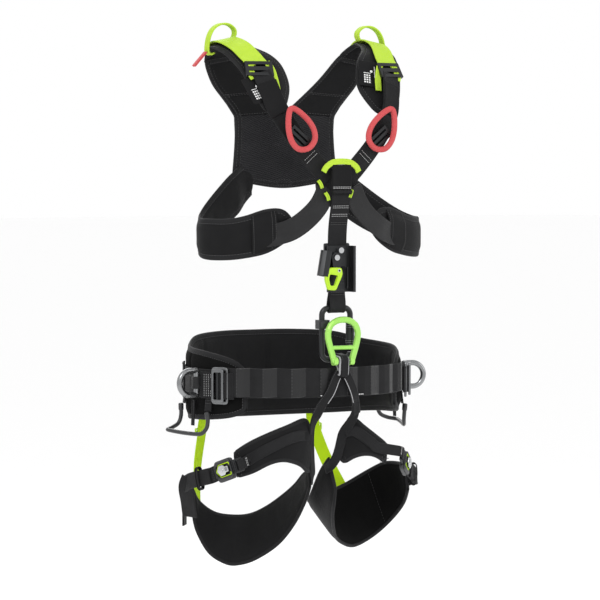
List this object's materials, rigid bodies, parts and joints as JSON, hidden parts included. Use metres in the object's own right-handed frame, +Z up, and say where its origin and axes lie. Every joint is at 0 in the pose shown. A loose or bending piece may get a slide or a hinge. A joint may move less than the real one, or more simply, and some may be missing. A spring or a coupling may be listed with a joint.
{
  "type": "safety harness",
  "caption": "Full-body work harness with padded waist belt, leg loops, chest ring and back yoke, chest rope clamp, ventral ring, side rings and quick buckles.",
  "frame": {"origin": "centre of the waist opening, level with the middle of the waist webbing at the front", "axes": "+Z up the wearer, -Y to the front, +X to the wearer's left"},
  "size_m": [0.4482, 0.3234, 0.8634],
  "materials": {
    "pad_cloth": "black padded cloth with bound edges",
    "mesh_cloth": "black spacer mesh with smooth arms",
    "black_webbing": "woven charcoal webbing",
    "bright_webbing": "light yellow-green webbing",
    "bright_elastic": "yellow-green ribbed elastic",
    "coral_textile": "coral red textile",
    "green_alloy": "light green anodised aluminium",
    "bright_plastic": "bright yellow-green",
    "grey_alloy": "satin grey aluminium",
    "steel": "bright steel",
    "dark_alloy": "dark anodised",
    "dark_plastic": "dark grey moulded"
  },
  "bodies": {
    "harness": {"belt_pad": "pad_cloth", "belt_web": "black_webbing", "front_band": "black_webbing", "belt_buckle_frame_r": "grey_alloy", "belt_buckle_frame_l": "grey_alloy", "side_ring_keeper_r": "black_webbing", "side_ring_keeper_l": "black_webbing", "back_yoke": "mesh_cloth", "shoulder_pad_r": "pad_cloth", "shoulder_pad_l": "pad_cloth", "underarm_pad_r": "pad_cloth", "underarm_pad_l": "pad_cloth", "shoulder_web_r": "bright_webbing", "shoulder_web_l": "bright_webbing", "pull_tab": "coral_textile", "front_strap_r": "black_webbing", "front_strap_l": "black_webbing", "chest_adjuster_r": "dark_alloy", "chest_adjuster_l": "dark_alloy", "underarm_strap_r": "black_webbing", "underarm_strap_l": "black_webbing", "centre_keeper": "bright_webbing", "sternum_strap": "black_webbing", "clamp_bracket": "dark_alloy", "clamp_shell": "dark_alloy", "clamp_rivets": "steel", "lower_strap": "black_webbing", "connector": "dark_alloy", "connector_retainer": "dark_plastic", "tie_in_loop": "black_webbing", "rear_elastic_r": "bright_elastic", "rear_elastic_l": "bright_elastic"},
    "side_ring_r": {"side_ring_r": "grey_alloy"},
    "side_ring_l": {"side_ring_l": "grey_alloy"},
    "slider_r": {"belt_buckle_slider_r": "grey_alloy"},
    "slider_l": {"belt_buckle_slider_l": "grey_alloy"},
    "ventral_ring": {"ventral_ring": "green_alloy", "ring_pin": "grey_alloy"},
    "gate": {"connector_gate": "steel"},
    "sleeve": {"connector_sleeve": "dark_alloy"},
    "cam": {"clamp_cam": "steel"},
    "catch": {"clamp_catch": "bright_plastic"},
    "leg_loop_r": {"leg_front_pad_r": "pad_cloth", "leg_rear_pad_r": "pad_cloth", "leg_buckle_r": "dark_plastic", "leg_web_r": "black_webbing"},
    "leg_loop_l": {"leg_front_pad_l": "pad_cloth", "leg_rear_pad_l": "pad_cloth", "leg_buckle_l": "dark_plastic", "leg_web_l": "black_webbing"},
    "lever_r": {"leg_lever_r": "steel"},
    "lever_l": {"leg_lever_l": "steel"},
    "tongue_r": {"leg_tongue_r": "steel"},
    "tongue_l": {"leg_tongue_l": "steel"},
    "gear_loop_r": {"gear_loop_r": "dark_plastic"},
    "gear_loop_l": {"gear_loop_l": "dark_plastic"},
    "chest_loop_r": {"chest_loop_r": "coral_textile"},
    "chest_loop_l": {"chest_loop_l": "coral_textile"},
    "shoulder_buckle_r": {"shoulder_buckle_r": "dark_alloy"},
    "shoulder_buckle_l": {"shoulder_buckle_l": "dark_alloy"}
  },
  "joints": [
    {"name": "side_ring_swing_r", "type": "hinge", "parent": "harness", "child": "side_ring_r", "pos_m": [-0.18711, -0.02813, -0.005], "axis": [0, 0, 1], "range_deg": [-50, 50]},
    {"name": "side_ring_swing_l", "type": "hinge", "parent": "harness", "child": "side_ring_l", "pos_m": [0.18711, -0.02813, -0.005], "axis": [0, 0, 1], "range_deg": [-50, 50]},
    {"name": "slider_tilt_r", "type": "hinge", "parent": "harness", "child": "slider_r", "pos_m": [-0.16829, -0.07982, -0.008], "axis": [0, 0, 1], "range_deg": [0, 35]},
    {"name": "slider_tilt_l", "type": "hinge", "parent": "harness", "child": "slider_l", "pos_m": [0.16829, -0.07982, -0.008], "axis": [0, 0, 1], "range_deg": [-35, 0]},
    {"name": "ventral_ring_swing", "type": "hinge", "parent": "harness", "child": "ventral_ring", "pos_m": [0, -0.163, 0.031], "axis": [1, 0, 0], "range_deg": [0, 100]},
    {"name": "gate_open", "type": "hinge", "parent": "harness", "child": "gate", "pos_m": [0.022, -0.146, 0.048], "axis": [0, 1, 0], "range_deg": [-22, 0], "stiffness_Nm_per_rad": 0.1, "springref_deg": 5.73},
    {"name": "sleeve_turn", "type": "hinge", "parent": "gate", "child": "sleeve", "pos_m": [0.022, -0.146, 0.072], "axis": [0, 0, 1], "range_deg": [0, 90], "stiffness_Nm_per_rad": 0.01},
    {"name": "cam_swing", "type": "hinge", "parent": "harness", "child": "cam", "pos_m": [-0.009, -0.155, 0.192], "axis": [0, 1, 0], "range_deg": [-18, 0], "stiffness_Nm_per_rad": 0.1, "springref_deg": 5.73},
    {"name": "catch_pull", "type": "hinge", "parent": "cam", "child": "catch", "pos_m": [-0.008, -0.162, 0.172], "axis": [0, 1, 0], "range_deg": [-20, 0], "stiffness_Nm_per_rad": 0.05, "springref_deg": 5.73},
    {"name": "leg_swing_r", "type": "hinge", "parent": "harness", "child": "leg_loop_r", "pos_m": [-0.022, -0.152, -0.016], "axis": [1, 0, 0], "range_deg": [-5, 12], "deforming": ["rear_elastic_r"]},
    {"name": "leg_swing_l", "type": "hinge", "parent": "harness", "child": "leg_loop_l", "pos_m": [0.022, -0.152, -0.016], "axis": [1, 0, 0], "range_deg": [-5, 12], "deforming": ["rear_elastic_l"]},
    {"name": "lever_lift_r", "type": "hinge", "parent": "leg_loop_r", "child": "lever_r", "pos_m": [-0.16867, -0.10019, -0.13424], "axis": [-0.1658, 0.2991, 0.9397], "range_deg": [0, 30], "stiffness_Nm_per_rad": 0.05, "springref_deg": -5.73},
    {"name": "lever_lift_l", "type": "hinge", "parent": "leg_loop_l", "child": "lever_l", "pos_m": [0.14426, -0.1154, -0.1345], "axis": [0.341, 0.3657, 0.866], "range_deg": [-30, 0], "stiffness_Nm_per_rad": 0.05, "springref_deg": 5.73},
    {"name": "tongue_slide_r", "type": "slide", "parent": "leg_loop_r", "child": "tongue_r", "axis": [0.4556, -0.8219, 0.342], "range_m": [0, 0.022]},
    {"name": "tongue_slide_l", "type": "slide", "parent": "leg_loop_l", "child": "tongue_l", "axis": [-0.5906, -0.6334, 0.5], "range_m": [0, 0.022]},
    {"name": "gear_loop_swing_r", "type": "hinge", "parent": "harness", "child": "gear_loop_r", "pos_m": [-0.179, 0.045, -0.046], "axis": [-0.0108, 0.9962, 0.0866], "range_deg": [0, 60], "stiffness_Nm_per_rad": 0.2},
    {"name": "gear_loop_swing_l", "type": "hinge", "parent": "harness", "child": "gear_loop_l", "pos_m": [0.179, 0.045, -0.046], "axis": [-0.0108, -0.9962, -0.0866], "range_deg": [0, 60], "stiffness_Nm_per_rad": 0.2},
    {"name": "chest_loop_swing_r", "type": "hinge", "parent": "harness", "child": "chest_loop_r", "pos_m": [-0.0889, -0.1595, 0.42256], "axis": [0.8988, 0, 0.4384], "range_deg": [-70, 0]},
    {"name": "chest_loop_swing_l", "type": "hinge", "parent": "harness", "child": "chest_loop_l", "pos_m": [0.0889, -0.1595, 0.42256], "axis": [0.8988, 0, -0.4384], "range_deg": [-70, 0]},
    {"name": "shoulder_buckle_tilt_r", "type": "hinge", "parent": "harness", "child": "shoulder_buckle_r", "pos_m": [-0.1148, -0.0985, 0.4933], "axis": [0.9781, -0.208, 0], "range_deg": [-30, 0]},
    {"name": "shoulder_buckle_tilt_l", "type": "hinge", "parent": "harness", "child": "shoulder_buckle_l", "pos_m": [0.1148, -0.0985, 0.4933], "axis": [0.9781, 0.208, 0], "range_deg": [-30, 0]}
  ]
}
